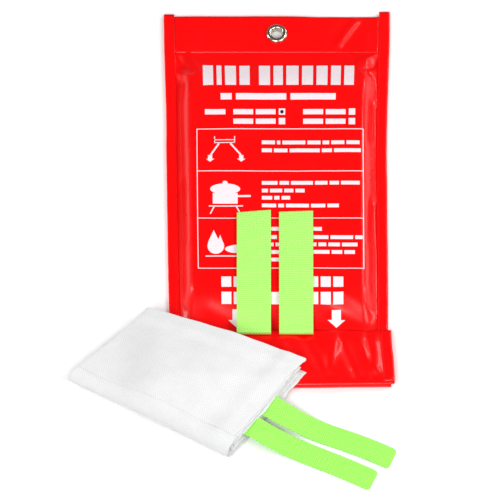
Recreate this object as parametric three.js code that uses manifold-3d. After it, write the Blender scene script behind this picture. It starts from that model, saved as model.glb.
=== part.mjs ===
// A fire blanket and its soft pouch, lying on a table.
// The glossy vinyl pouch holds a packed blanket, whose two pull tapes come out of the folded mouth and
// lie doubled back on the front. A second blanket, taken out and folded like a book, lies across the
// pouch's lower corner with its own pull tapes spread on the table.
// Millimetres, +Z up. In the pouch's own group, X runs across it and Y from its bottom fold to its top.

import * as THREE from "three";
import { mergeVertices } from "three/addons/utils/BufferGeometryUtils.js";
import Module from "manifold-3d";

const wasm = await Module();
wasm.setup();

// ---- driving sizes ----

const gap = 0.3; // between sheets that lie on each other
const vinyl = 0.5; // thickness of the pouch's sheet
const webbing = 1.0; // thickness of a pull tape

const pouchWidth = 168;
const pouchLength = 315;
const bindingWidth = 8; // welded strip down each side
const bindingWall = 0.4;
const bindingDepth = 5.5; // how far the panels reach into a binding
const bindingRise = 2; // how far the bindings stand past the header's top edge

const headerLength = 31;
const eyeletFromTop = 17;
const eyeletBore = 4; // radius of the hole a hook goes through
const eyeletBarrel = 0.7; // wall of the eyelet's barrel
const eyeletFlange = 7.8; // outer radius of the eyelet's rim
const eyeletClearance = 0.3; // barrel to the punched sheets
const eyeletRimHeight = 1.2;

const mouthLength = 43; // the open end, folded up over the front
const tapeWidth = 25;
const tapeGap = 6; // between the pouch's two tapes
const tapeOffCentre = -1.5;
const tapeTop = 139; // height of the tapes' fold above the pouch's bottom fold
const tapeBottom = 41; // height of the tapes' free ends
const tapeInMouth = 34; // how far each tape lies between the mouth's two plies
const hemLength = 16;

const packedWidth = 125;
const packedLength = 167;
const packedPly = 2.2; // one bundle of the packed blanket's folds
const packedStart = 78; // its lower end above the pouch's bottom fold
const packedTapeLength = 30; // how far a tape is sewn in between the bundles
const packedSideRoom = 3; // packed blanket to the front panel's shoulder at each side
const packedLowerRoom = 5;
const packedUpperRoom = 6;
const packedTopRoom = 0.8; // packed blanket to the panel over it
const sideSlope = 9; // how wide the front panel's shoulders are
const lowerSlope = 15;
const upperSlope = 30;
const panelStepsX = 22;
const panelStepsY = 30;

const foldedLength = 124; // the blanket that lies in front
const foldedWidth = 84;
const foldedPly = 1.5; // one bundle of its folds
const nestedFolds = 3; // folds between the cover and the core
const foldClearance = 0.55; // between its bundles
const foldStagger = 1.6; // each nested fold is this much shorter at the open edge
const foldSkew = 14; // degrees, folded a little askew
const foldedTurn = -25; // degrees, as it lies on the table
const foldedCentreX = -67;
const foldedCentreY = -1;
const drapeRun = 36; // how far beyond the pouch's edge the blanket comes down to the table
const drapeRoom = 0.7; // blanket's underside to the pouch under it

const pullWidth = 17;
const pullLength = 96;
const pullGap = 2.5;
const pullCentre = -5; // across the folded blanket
const pullRoot = 40; // how far a pull tape is sewn in between the core's two halves
const rootClearance = 0.6; // pull tape to the core's halves
const pullDrop = 26; // length over which it comes down to the table
const pullFan = [0.4, 2.1]; // degrees, front and rear tape to the blanket's length
const hingeGap = 0.4;
const tableGap = 0.2; // under a tape that lies on the table

// ---- sizes that follow ----

const rad = THREE.MathUtils.degToRad;
const innerHalf = pouchWidth / 2 - bindingWidth; // bindings' inner edges
const panelWidth = 2 * (innerHalf + bindingDepth);
const panelLength = pouchLength - bindingRise;

const backBase = bindingWall + gap;
const backTop = backBase + vinyl;
const frontBase = backTop + gap; // where the front panel is flat on the back panel
const bindingHeight = frontBase + vinyl + gap + bindingWall;

const tapeSpace = webbing + gap; // the front panel stands this much higher where tapes pass under it
const packedHeight = 4 * packedPly + 3 * gap + webbing + gap;
const bulge = packedHeight + packedTopRoom;
const flatTop = frontBase + tapeSpace + vinyl; // front panel's upper face near the bottom fold

const innerPlyBase = flatTop + gap;
const mouthTapeBase = innerPlyBase + vinyl + gap;
const outerPlyBase = mouthTapeBase + webbing + gap;
const mouthTop = outerPlyBase + vinyl;
const mouthBindingBase = innerPlyBase - gap - bindingWall;
const mouthBindingTop = mouthTop + gap + bindingWall;

const tapeXs = [-1, 1].map((side) => tapeOffCentre + (side * (tapeWidth + tapeGap)) / 2);
const eyeletY = pouchLength - eyeletFromTop;
const headerBase = frontBase + vinyl + gap;
const headerTop = headerBase + vinyl;

const foldedPitch = foldedPly + foldClearance;
const coreHeight = 2 * (foldedPly + rootClearance) + webbing;
const foldedHeight = 2 * (nestedFolds + 1) * foldedPitch + coreHeight;
const foldedRise = mouthBindingTop + drapeRoom; // the blanket's underside where it lies on the pouch
const rootBase = (nestedFolds + 1) * foldedPitch + foldedPly + rootClearance;

// ---- shaping helpers ----

const smooth = (t) => THREE.MathUtils.smoothstep(t, 0, 1);

// Only position matters to a solid: shared corners become one vertex.
function welded(geometry) {
  const bare = geometry.clone();
  bare.deleteAttribute("normal");
  bare.deleteAttribute("uv");
  return mergeVertices(bare, 1e-4);
}

function toSolid(geometry) {
  const g = welded(geometry);
  return new wasm.Manifold(
    new wasm.Mesh({
      numProp: 3,
      vertProperties: new Float32Array(g.attributes.position.array),
      triVerts: new Uint32Array(g.index.array),
    }),
  );
}

function fromSolid(solid) {
  const mesh = solid.getMesh();
  const g = new THREE.BufferGeometry();
  g.setAttribute("position", new THREE.BufferAttribute(mesh.vertProperties, 3));
  g.setIndex(new THREE.BufferAttribute(mesh.triVerts, 1));
  g.computeVertexNormals();
  return g;
}

function punched(geometry, tool) {
  return fromSolid(toSolid(geometry).subtract(toSolid(tool)));
}

// Moves every vertex by a rule on its own coordinates.
function reshaped(geometry, rule) {
  const p = geometry.attributes.position;
  const v = new THREE.Vector3();
  for (let i = 0; i < p.count; i++) {
    rule(v.fromBufferAttribute(p, i));
    p.setXYZ(i, v.x, v.y, v.z);
  }
  geometry.computeVertexNormals();
  return geometry;
}

// A flat sheet from y0 to y1, with its underside at z.
function sheet(width, y0, y1, z, thickness, stepsX = 1, stepsY = 1) {
  const g = new THREE.BoxGeometry(width, y1 - y0, thickness, stepsX, stepsY, 1);
  return g.translate(0, (y0 + y1) / 2, z + thickness / 2);
}

// The outline of a strip: a line of [a, b] points and the same line moved sideways by its thickness.
function stripShape(line, thickness) {
  const points = line.map(([a, b]) => new THREE.Vector2(a, b));
  const lefts = points.map((p, i) => {
    const before = points[Math.max(i - 1, 0)];
    const after = points[Math.min(i + 1, points.length - 1)];
    const d = after.clone().sub(before).normalize();
    return new THREE.Vector2(p.x - d.y * thickness, p.y + d.x * thickness);
  });
  return new THREE.Shape([...points, ...lefts.reverse()]);
}

const sideways = new THREE.Matrix4().makeBasis(
  new THREE.Vector3(0, 1, 0),
  new THREE.Vector3(0, 0, 1),
  new THREE.Vector3(1, 0, 0),
);
const lengthways = new THREE.Matrix4().makeBasis(
  new THREE.Vector3(1, 0, 0),
  new THREE.Vector3(0, 0, 1),
  new THREE.Vector3(0, -1, 0),
);

// A section drawn in Y and Z, run along X between x0 and x1.
function acrossX(shape, x0, x1, steps = 1) {
  const g = new THREE.ExtrudeGeometry(shape, { depth: x1 - x0, steps, bevelEnabled: false });
  return g.applyMatrix4(sideways).translate(x0, 0, 0);
}

// A section drawn in X and Z, run along Y between y0 and y1.
function alongY(shape, y0, y1) {
  const g = new THREE.ExtrudeGeometry(shape, { depth: y1 - y0, bevelEnabled: false });
  return g.applyMatrix4(lengthways).translate(0, y1, 0);
}

function arc(centreA, centreB, radius, fromDegrees, toDegrees, steps) {
  return Array.from({ length: steps + 1 }, (_, i) => {
    const angle = rad(fromDegrees + ((toDegrees - fromDegrees) * i) / steps);
    return [centreA + radius * Math.cos(angle), centreB + radius * Math.sin(angle)];
  });
}

function run(from, to, steps) {
  return Array.from({ length: steps + 1 }, (_, i) => {
    const t = i / steps;
    return [from[0] + (to[0] - from[0]) * t, from[1] + (to[1] - from[1]) * t];
  });
}

// ---- materials ----

const finish = (color, roughness, metalness = 0) =>
  new THREE.MeshStandardMaterial({ color, roughness, metalness });
const redVinyl = () => finish(0xe0070c, 0.28);
const nickel = () => finish(0xc9c5bb, 0.25, 1);
const limeWebbing = () => finish(0x9df35c, 0.8);
const whiteGlassCloth = () => finish(0xeeeeec, 0.85);

function piece(group, name, geometry, material) {
  const mesh = new THREE.Mesh(welded(geometry), material);
  mesh.name = name;
  group.add(mesh);
  return mesh;
}

// ---- the pouch ----

// How far the front panel stands off the back panel.
function bulgeAt(x, y) {
  const shoulder = packedWidth / 2 + packedSideRoom;
  const across = smooth((shoulder + sideSlope - Math.abs(x)) / sideSlope);
  const rise = (y - (packedStart - packedLowerRoom - lowerSlope)) / lowerSlope;
  const fall = (packedStart + packedLength + packedUpperRoom + upperSlope - y) / upperSlope;
  const lower = tapeSpace + (bulge - tapeSpace) * smooth(rise);
  return across * (y > packedStart + packedLength ? bulge * smooth(fall) : lower);
}

// The front panel's upper face along its middle, which runs straight between its rows of corners.
const panelRow = panelLength / panelStepsY;
function frontPanelTop(y) {
  const row = Math.floor(y / panelRow);
  const [low, high] = [row, row + 1].map((i) => bulgeAt(0, i * panelRow));
  return frontBase + vinyl + THREE.MathUtils.lerp(low, high, y / panelRow - row);
}

function punch() {
  const radius = eyeletBore + eyeletBarrel + eyeletClearance;
  const tool = new THREE.CylinderGeometry(radius, radius, 20, 32);
  return tool.rotateX(Math.PI / 2).translate(0, eyeletY, 0);
}

function addPanels(group) {
  const back = sheet(panelWidth, 0, panelLength, backBase, vinyl);
  piece(group, "back_panel", punched(back, punch()), redVinyl());

  const front = sheet(panelWidth, 0, panelLength, frontBase, vinyl, panelStepsX, panelStepsY);
  reshaped(front, (v) => (v.z += bulgeAt(v.x, v.y)));
  piece(group, "front_panel", punched(front, punch()), redVinyl());

  const bandStart = panelLength - headerLength;
  const band = sheet(2 * (innerHalf - gap), bandStart, panelLength, headerBase, vinyl);
  piece(group, "header_band", punched(band, punch()), redVinyl());
}

// A binding's section: a channel, open towards the panels, drawn for the right-hand side.
function bindingShape(base, top) {
  const inner = innerHalf;
  const outer = innerHalf + bindingWidth;
  const web = innerHalf + bindingDepth + gap;
  return [
    [inner, base],
    [outer, base],
    [outer, top],
    [inner, top],
    [inner, top - bindingWall],
    [web, top - bindingWall],
    [web, base + bindingWall],
    [inner, base + bindingWall],
  ];
}

function addBinding(group, name, base, top, y0, y1, side) {
  const corners = bindingShape(base, top).map(([x, z]) => new THREE.Vector2(side * x, z));
  const outline = side > 0 ? corners : corners.reverse();
  piece(group, name, alongY(new THREE.Shape(outline), y0, y1), redVinyl());
}

function addEyelet(group) {
  const outer = eyeletBore + eyeletBarrel;
  const rimBase = headerTop + gap;
  const rimTop = rimBase + eyeletRimHeight;
  const rimMiddle = (eyeletBore + eyeletFlange) / 2;
  const front = [
    [eyeletBore, 0],
    [outer, 0],
    [outer, rimBase],
    [eyeletFlange, rimBase],
    [eyeletFlange - 0.3, rimBase + 0.6],
    [rimMiddle + 1, rimTop - 0.15],
    [rimMiddle, rimTop],
    [eyeletBore + 0.6, rimTop - 0.3],
    [eyeletBore, rimBase + 0.4],
    [eyeletBore, 0],
  ];
  const washerInner = outer + gap;
  const washerTop = backBase - gap;
  const back = [
    [washerInner, 0],
    [eyeletFlange, 0],
    [eyeletFlange, washerTop],
    [washerInner, washerTop],
    [washerInner, 0],
  ];
  for (const [name, profile] of Object.entries({ eyelet_front: front, eyelet_back: back })) {
    const points = profile.map(([r, z]) => new THREE.Vector2(r, z));
    const ring = new THREE.LatheGeometry(points, 32).rotateX(Math.PI / 2);
    const mesh = piece(group, name, ring, nickel());
    mesh.position.set(0, eyeletY, 0);
  }
}

function addMouth(group) {
  const half = panelWidth / 2;
  const levels = { mouth_inner_ply: innerPlyBase, mouth_outer_ply: outerPlyBase };
  for (const [name, z] of Object.entries(levels))
    piece(group, name, sheet(panelWidth, 0, mouthLength, z, vinyl), redVinyl());

  // Each fold turns a panel round into the mouth ply that continues it.
  const folds = {
    mouth_inner_fold: [frontBase + tapeSpace, innerPlyBase + vinyl],
    mouth_outer_fold: [backBase, mouthTop],
  };
  for (const [name, [low, high]] of Object.entries(folds)) {
    const radius = (high - low) / 2 - vinyl;
    const line = arc(-gap, (low + high) / 2, radius, 270, 90, 10);
    const width = name === "mouth_inner_fold" ? packedWidth / 2 : half;
    piece(group, name, acrossX(stripShape(line, vinyl), -width, width), redVinyl());
  }
}

// The underside of a tape that lies on the front, between two heights: level over the mouth, then
// up the slope and over the bulge at the given clearance.
function tapeLine(from, to, level, clearance) {
  const rows = [];
  for (let y = panelRow; y < to; y += panelRow) if (y > from) rows.push(y);
  return [from, ...rows, to].map((y) => [y, Math.max(level, frontPanelTop(y) + clearance)]);
}

// A strip's outline from its underside, with its thickness straight up, ending in a turn if it has one.
function liftedShape(line, thickness, turn = []) {
  const upper = line.map(([y, z]) => [y, z + thickness]).reverse();
  return new THREE.Shape([...line, ...turn, ...upper].map(([y, z]) => new THREE.Vector2(y, z)));
}

function addPouchTapes(group) {
  const turnInner = gap / 2;
  const turnY = tapeTop - turnInner - webbing;
  const turnZ = frontPanelTop(turnY) + gap + webbing + turnInner;
  const turn = [
    ...arc(turnY, turnZ, turnInner + webbing, -80, 90, 8),
    ...arc(turnY, turnZ, turnInner, 90, -80, 4),
  ];
  const runLevel = innerPlyBase + vinyl + gap;
  const endLevel = mouthTop + gap;
  for (const [i, side] of ["left", "right"].entries()) {
    const x0 = tapeXs[i] - tapeWidth / 2;
    const strip = (name, shape) =>
      piece(group, `${side}_tape_${name}`, acrossX(shape, x0, x0 + tapeWidth), limeWebbing());

    // Out of the mouth, up the front and round the turn.
    const up = tapeLine(mouthLength - tapeInMouth, turnY, runLevel, gap);
    strip("run", liftedShape(up, webbing, turn));

    // The free end lies back down over the mouth, with its hem under it.
    const down = tapeLine(tapeBottom, turnY - hingeGap, endLevel, webbing + 2 * gap);
    const overHem = ([y, z]) => [y, z + (y < tapeBottom + hemLength + panelRow / 2 ? webbing + gap : 0)];
    strip("end", liftedShape(down.map(overHem), webbing));
    strip("hem", liftedShape(tapeLine(tapeBottom, tapeBottom + hemLength, endLevel, 0), webbing));
  }
}

function addPackedBlanket(group) {
  const middle = 2 * (packedPly + gap);
  for (let i = 0; i < 4; i++) {
    const z = backTop + gap + i * (packedPly + gap) + (i > 1 ? webbing + gap : 0);
    const leaf = sheet(packedWidth, packedStart, packedStart + packedLength, z, packedPly);
    piece(group, `packed_leaf_${i + 1}`, leaf, whiteGlassCloth());
  }
  // Each tape leaves the middle of the packed blanket and runs down inside the pouch to the bottom fold.
  const low = backTop + gap;
  const line = [
    [2, low],
    [packedStart - 16, low],
    [packedStart - 2, low + middle],
    [packedStart + packedTapeLength, low + middle],
  ];
  for (const [i, side] of ["left", "right"].entries()) {
    const x0 = tapeXs[i] - tapeWidth / 2;
    const strip = acrossX(stripShape(line, webbing), x0, x0 + tapeWidth);
    piece(group, `packed_tape_${side}`, strip, limeWebbing());
  }
}

function makePouch() {
  const pouch = new THREE.Group();
  addPanels(pouch);
  for (const [side, name] of [[-1, "left"], [1, "right"]]) {
    addBinding(pouch, `binding_${name}`, 0, bindingHeight, 0, pouchLength, side);
    const [base, top] = [mouthBindingBase, mouthBindingTop];
    addBinding(pouch, `mouth_binding_${name}`, base, top, 0, mouthLength, side);
  }
  addEyelet(pouch);
  addMouth(pouch);
  addPouchTapes(pouch);
  addPackedBlanket(pouch);
  return pouch;
}

// ---- the folded blanket ----

// How far the blanket is lifted where it lies on the pouch, at a point of the pouch's own X and Y.
function liftAt(x, y) {
  const inX = smooth((x + pouchWidth / 2 + drapeRun) / drapeRun);
  const inY = smooth((y + mouthTop / 2 + drapeRun) / drapeRun);
  return foldedRise * inX * inY;
}

// The same at a point of the folded blanket's own X and Y.
function ownLiftAt(x, y) {
  const [cos, sin] = [Math.cos(rad(foldedTurn)), Math.sin(rad(foldedTurn))];
  return liftAt(foldedCentreX + x * cos - y * sin, foldedCentreY + x * sin + y * cos);
}

// Skews a piece of the folded blanket and lays it over the pouch's edge.
function draped(geometry) {
  return reshaped(geometry, (v) => {
    v.x += v.y * Math.tan(rad(foldSkew));
    v.z += ownLiftAt(v.x, v.y);
  });
}

function makeFoldedBlanket() {
  const blanket = new THREE.Group();
  blanket.position.set(foldedCentreX, foldedCentreY, 0);
  blanket.rotation.z = rad(foldedTurn);

  const half = foldedLength / 2;
  const back = foldedWidth / 2;
  const spine = -foldedWidth / 2 + foldedHeight / 2; // centre of the rounded edge
  const middle = foldedHeight / 2;
  const lengthSteps = 14;
  const layers = (name, line, thickness = foldedPly) =>
    piece(
      blanket,
      name,
      draped(acrossX(stripShape(line, thickness), -half, half, lengthSteps)),
      whiteGlassCloth(),
    );

  // Every layer bends at the same stations, so that their gaps stay even over the pouch's edge.
  const level = (from, to, z) => {
    const [low, high] = [Math.min(from, to), Math.max(from, to)];
    const stations = [];
    for (let y = spine + 8; y < high - 1; y += 8) if (y > low + 1) stations.push(y);
    return (from < to ? [low, ...stations, high] : [high, ...stations.reverse(), low]).map((y) => [y, z]);
  };

  // The outermost ply: cover, rounded spine and base.
  const outer = middle - foldedPly;
  const inset = foldClearance / 2;
  layers("blanket_cover_ply", level(spine + inset, back, middle + outer));
  layers("blanket_base_ply", level(spine + inset, back, 0));
  layers("blanket_spine", arc(spine - inset, middle, outer, 270, 90, 12));

  for (let i = 1; i <= nestedFolds; i++) {
    const radius = outer - i * foldedPitch;
    const open = back - i * foldStagger;
    const line = [
      ...level(open, spine, middle - radius),
      ...arc(spine, middle, radius, 270, 90, 8).slice(1, -1),
      ...level(spine, open, middle + radius),
    ];
    layers(`blanket_fold_${i}`, line);
  }

  const coreFront = spine - middle + (nestedFolds + 1) * foldedPitch + 2;
  const coreBack = back - (nestedFolds + 1) * foldStagger;
  const low = (nestedFolds + 1) * foldedPitch;
  layers("blanket_core_lower", level(coreFront, coreBack, low));
  layers("blanket_core_upper", level(coreFront, coreBack, rootBase + webbing + rootClearance));

  for (const [i, name] of ["front", "rear"].entries()) {
    const y = pullCentre + (i - 0.5) * (pullWidth + pullGap);
    const root = new THREE.BoxGeometry(pullRoot, pullWidth, webbing, 6, 3, 1);
    root.translate(half - pullRoot / 2 + 1, y, rootBase + webbing / 2);
    piece(blanket, `pull_root_${name}`, draped(root), limeWebbing());
    blanket.add(makePullTape(name, half + 1 + y * Math.tan(rad(foldSkew)), y, rad(pullFan[i])));
  }
  return blanket;
}

// One pull tape: it leaves the blanket's end at mid-height, comes down to the table and lies flat.
function makePullTape(name, exitX, exitY, fan) {
  const tape = new THREE.Group();
  const halfWidth = pullWidth / 2;
  const exitSlant = halfWidth * Math.tan(rad(foldSkew) + fan); // clears the skewed end
  tape.position.set(exitX + hingeGap + exitSlant, exitY, 0);
  tape.rotation.z = fan;
  // Its rear corner is the one that meets the root.
  const start = rootBase + ownLiftAt(exitX + halfWidth * Math.tan(rad(foldSkew)), exitY + halfWidth);
  const drop = run([0, 0], [1, 0], 10).map(([t]) => [
    t * pullDrop,
    tableGap + (start - tableGap) * (1 - smooth(t)),
  ]);
  const line = [...drop, ...run([pullDrop, tableGap], [pullLength, tableGap], 6).slice(1)];
  const strip = acrossX(stripShape(line, webbing), -halfWidth, halfWidth);
  strip.rotateZ(-Math.PI / 2); // the section's length now runs along X
  piece(tape, `pull_tape_${name}`, strip, limeWebbing());
  return tape;
}

// ---- the whole object ----

const model = new THREE.Group();
model.add(makePouch(), makeFoldedBlanket());

// The origin is the middle of the object's footprint, on the table.
const bounds = new THREE.Box3().setFromObject(model);
const centre = bounds.getCenter(new THREE.Vector3());
model.position.set(-centre.x, -centre.y, -bounds.min.z);

export default model;
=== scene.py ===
# A fire blanket and its vinyl pouch on a pale table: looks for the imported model.
import math

import bmesh
import bpy
import numpy as np
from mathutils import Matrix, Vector, noise


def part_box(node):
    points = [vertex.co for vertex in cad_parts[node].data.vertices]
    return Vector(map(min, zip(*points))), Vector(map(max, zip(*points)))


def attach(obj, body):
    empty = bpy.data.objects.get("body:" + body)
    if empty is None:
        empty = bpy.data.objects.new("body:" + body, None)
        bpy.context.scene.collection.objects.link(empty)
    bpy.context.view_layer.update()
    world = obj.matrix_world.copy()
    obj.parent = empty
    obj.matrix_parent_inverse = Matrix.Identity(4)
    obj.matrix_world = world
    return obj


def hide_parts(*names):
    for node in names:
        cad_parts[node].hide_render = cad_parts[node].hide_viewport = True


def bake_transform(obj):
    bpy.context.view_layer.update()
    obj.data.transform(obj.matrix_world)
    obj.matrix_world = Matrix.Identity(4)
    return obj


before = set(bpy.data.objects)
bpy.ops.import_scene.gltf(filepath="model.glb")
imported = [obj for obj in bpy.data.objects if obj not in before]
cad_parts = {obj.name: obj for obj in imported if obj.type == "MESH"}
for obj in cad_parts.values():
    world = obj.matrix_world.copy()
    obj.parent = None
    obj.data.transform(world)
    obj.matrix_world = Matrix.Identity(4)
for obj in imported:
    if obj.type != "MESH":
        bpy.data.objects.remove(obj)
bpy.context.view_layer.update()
rootBody = "pouch_and_folds"
mm = 0.001


def smooth(t):
    t = min(max(t, 0.0), 1.0)
    return t * t * (3 - 2 * t)


def mix(a, b, t):
    return a + (b - a) * t


def wobble(x, y, size, seed):
    # soft bumps about size millimetres wide, from -1 to 1
    return noise.noise(Vector((x / size + 7.3 * seed, y / size - 3.1 * seed, 1.7 * seed)))


def bumps(x, y, kind, seed):
    height, size = kind
    return height * wobble(x, y, size, seed)


def heights(node):
    low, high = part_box(node)
    return low.z / mm, high.z / mm


panelLow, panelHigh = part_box("back_panel")
pouchX = (panelLow.x + panelHigh.x) / 2 / mm
pouchY = panelLow.y / mm


# Camera, light and table.

studio = {
    "elevation": 60.0,  # degrees above the table
    "viewWidth": 0.369,  # metres of table across the picture
    "lens": 1000.0,
    "sensor": 36.0,
    "clip": 60.0,
    "aim": (-19.1, 113.8),  # from the middle of the pouch's lower fold
    "world": 0.11,
    "floorSize": 6.0,
    "floorDrop": 0.0003,  # below the pouch
    "exposure": 0.0,
}
# place, size across and along, power
softBoxes = {
    "keyLight": ((-0.35, -1.0, 1.25), 0.9, 0.7, 18),
    "fillLight": ((0.9, -0.55, 0.95), 0.7, 0.7, 8),
    "leftStrip": ((-1.1, 0.3, 0.72), 0.22, 1.1, 6),
    "rightStrip": ((1.1, 0.35, 0.66), 0.2, 1.1, 5),
    "crossStrip": ((0.8, 0.7, 1.05), 0.12, 0.6, 2.2),
    "rearLight": ((1.0, 1.1, 0.42), 0.5, 0.2, 2.5),
}


def makeStudio():
    scene = bpy.context.scene
    data = bpy.data.cameras.new("studioCamera")
    data.lens = studio["lens"]
    data.sensor_width = studio["sensor"]
    data.clip_end = studio["clip"]
    camera = bpy.data.objects.new("studioCamera", data)
    scene.collection.objects.link(camera)
    away = studio["viewWidth"] * studio["lens"] / studio["sensor"]
    tilt = math.radians(studio["elevation"])
    aim = Vector((pouchX + studio["aim"][0], pouchY + studio["aim"][1], 0)) * mm
    camera.location = aim + away * Vector((0, -math.cos(tilt), math.sin(tilt)))
    camera.rotation_euler = (math.pi / 2 - tilt, 0, 0)
    scene.camera = camera

    world = bpy.data.worlds.new("softRoom")
    world.use_nodes = True
    fill(world.node_tree.nodes["Background"], {"Color": (1, 1, 1, 1), "Strength": studio["world"]})
    scene.world = world
    scene.view_settings.view_transform = "Standard"
    scene.view_settings.exposure = studio["exposure"]

    for name, (place, across, along, power) in softBoxes.items():
        light = bpy.data.lights.new(name, "AREA")
        light.shape = "RECTANGLE"
        light.size = across
        light.size_y = along
        light.energy = power
        lamp = bpy.data.objects.new(name, light)
        scene.collection.objects.link(lamp)
        lamp.location = place
        lamp.rotation_euler = (-Vector(place)).to_track_quat("-Z", "Y").to_euler()

    bm = bmesh.new()
    bmesh.ops.create_grid(bm, x_segments=2, y_segments=2, size=studio["floorSize"] / 2)
    bmesh.ops.translate(bm, verts=bm.verts, vec=(0, 0, -studio["floorDrop"]))
    table = objectFrom("table", bm, tableMaterial())


# Materials. The numbers are the sockets of a colour Mix node.
mixShare, mixFirst, mixSecond, mixResult = 0, 6, 7, 2


def fill(made, values):
    for name, value in values.items():
        made.inputs[name].default_value = value


def newMaterial(name, values):
    material = bpy.data.materials.new(name)
    material.use_nodes = True
    tree = material.node_tree
    surface = tree.nodes["Principled BSDF"]
    fill(surface, values)
    return material, tree, surface


def node(tree, kind, values=None, **settings):
    made = tree.nodes.new(kind)
    for name, value in settings.items():
        setattr(made, name, value)
    fill(made, values or {})
    return made


def feed(tree, target, name, source, output=0):
    tree.links.new(source.outputs[output], target.inputs[name])


def mixedColors(tree, first, second):
    return node(
        tree,
        "ShaderNodeMix",
        {mixFirst: (*first, 1), mixSecond: (*second, 1)},
        data_type="RGBA",
    )


def tableMaterial():
    values = {"Base Color": (0.97, 0.97, 0.97, 1), "Roughness": 0.9, "Specular IOR Level": 0.1}
    return newMaterial("paleTable", values)[0]


weaveLook = {
    "stagger": 0.5,  # of every other row of threads
    "second": (0.86, 0.86, 0.86, 1),  # every other thread is a little darker
    "groove": 0.28,  # as a share of a thread's width
    "cloudScale": 0.09,
    "cloudDetail": 4,
}


def weaveGroup():
    # Threads that go over and under, on UV coordinates in millimetres.
    group = bpy.data.node_groups.new("wovenThreads", "ShaderNodeTree")
    sockets = {"INPUT": ("Thread Length", "Thread Width"), "OUTPUT": ("Height", "Unevenness")}
    for way, names in sockets.items():
        for name in names:
            group.interface.new_socket(name, in_out=way, socket_type="NodeSocketFloat")
    start = node(group, "NodeGroupInput")
    end = node(group, "NodeGroupOutput")
    uv = node(group, "ShaderNodeTexCoord")
    rows = {
        "Scale": 1,
        "Color1": (1, 1, 1, 1),
        "Color2": weaveLook["second"],
        # the grooves come out as 0 here, where the material mixes in its painted shade colour
        "Mortar": (0, 0, 0, 1),
        "Mortar Smooth": 1,
    }
    threads = node(group, "ShaderNodeTexBrick", rows, offset=weaveLook["stagger"])
    gap = node(group, "ShaderNodeMath", {1: weaveLook["groove"]}, operation="MULTIPLY")
    clouding = {"Scale": weaveLook["cloudScale"], "Detail": weaveLook["cloudDetail"]}
    cloud = node(group, "ShaderNodeTexNoise", clouding)
    feed(group, threads, "Vector", uv, "UV")
    feed(group, threads, "Brick Width", start, "Thread Length")
    feed(group, threads, "Row Height", start, "Thread Width")
    feed(group, gap, 0, start, "Thread Width")
    feed(group, threads, "Mortar Size", gap)
    feed(group, cloud, "Vector", uv, "UV")
    feed(group, end, "Height", threads, "Color")
    feed(group, end, "Unevenness", cloud, "Fac")
    return group


clothLook = {
    "thread": (0.86, 0.86, 0.86),
    # painted shade: the darker colour of the grooves between threads
    "grooveShade": (0.6, 0.6, 0.61),
    "threadLength": 1.7,
    "threadWidth": 0.85,
    "clouding": 0.1,
    "bump": 0.4,
    "depth": 0.15,
    "roughness": 0.62,
    "specular": 0.35,
    "sheen": 0.15,
}
webbingLook = {
    "thread": (0.54, 0.99, 0.23),
    # painted shade: the darker green of the grooves between threads
    "grooveShade": (0.3, 0.82, 0.09),
    "threadLength": 2.2,
    "threadWidth": 1.5,
    "clouding": 0.06,
    "bump": 0.6,
    "depth": 0.3,
    "roughness": 0.7,
    "specular": 0.25,
    "sheen": 0.2,
}
# a more saturated green, with the painted shade in its grooves darker too
looseLook = webbingLook | {"thread": (0.44, 0.99, 0.16), "grooveShade": (0.22, 0.76, 0.06)}


def wovenMaterial(name, group, look):
    values = {
        "Roughness": look["roughness"],
        "Specular IOR Level": look["specular"],
        "Sheen Weight": look["sheen"],
    }
    material, tree, surface = newMaterial(name, values)
    sizes = {"Thread Length": look["threadLength"], "Thread Width": look["threadWidth"]}
    weave = node(tree, "ShaderNodeGroup", sizes, node_tree=group)
    # painted shade: the grooves between threads get the darker colour, the threads the lighter one
    shade = mixedColors(tree, look["grooveShade"], look["thread"])
    share = {mixShare: look["clouding"]}
    cloudy = node(tree, "ShaderNodeMix", share, data_type="RGBA", blend_type="MULTIPLY")
    bump = node(tree, "ShaderNodeBump", {"Strength": look["bump"], "Distance": look["depth"] * mm})
    feed(tree, shade, mixShare, weave, "Height")
    feed(tree, cloudy, mixFirst, shade, mixResult)
    feed(tree, cloudy, mixSecond, weave, "Unevenness")
    feed(tree, surface, "Base Color", cloudy, mixResult)
    feed(tree, bump, "Height", weave, "Height")
    feed(tree, surface, "Normal", bump)
    return material


vinylLook = {
    "color": (0.97, 0.0006, 0.0012),
    "deep": (0.72, 0.0004, 0.001),
    "clouds": {"Scale": 14, "Detail": 3},
    "wear": {"From Min": 0.45, "From Max": 0.95, "To Max": 0.5},  # where the deep tone shows
    "ripples": {"Scale": 55, "Detail": 5, "Distortion": 0.6},
    "bump": {"Strength": 0.22, "Distance": 0.7 * mm},
    "gloss": {"To Min": 0.22, "To Max": 0.4},  # roughness
    "surface": {"Specular IOR Level": 0.22, "Coat Weight": 0.28, "Coat Roughness": 0.1},
}


def vinylMaterial():
    material, tree, surface = newMaterial("redVinyl", vinylLook["surface"])
    place = node(tree, "ShaderNodeTexCoord")
    cloud = node(tree, "ShaderNodeTexNoise", vinylLook["clouds"])
    tone = mixedColors(tree, vinylLook["color"], vinylLook["deep"])
    wear = node(tree, "ShaderNodeMapRange", vinylLook["wear"])
    ripple = node(tree, "ShaderNodeTexNoise", vinylLook["ripples"])
    bump = node(tree, "ShaderNodeBump", vinylLook["bump"])
    gloss = node(tree, "ShaderNodeMapRange", vinylLook["gloss"])
    feed(tree, cloud, "Vector", place, "Object")
    feed(tree, ripple, "Vector", place, "Object")
    feed(tree, wear, "Value", cloud, "Fac")
    feed(tree, tone, mixShare, wear)
    feed(tree, surface, "Base Color", tone, mixResult)
    feed(tree, gloss, "Value", ripple, "Fac")
    feed(tree, surface, "Roughness", gloss)
    feed(tree, bump, "Height", ripple, "Fac")
    feed(tree, surface, "Normal", bump)
    return material


nickelLook = {
    "surface": {"Base Color": (0.66, 0.6, 0.5, 1), "Metallic": 1},
    "scratches": {"Scale": 900, "Detail": 3},
    "gloss": {"To Min": 0.14, "To Max": 0.34},  # roughness
}


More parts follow.
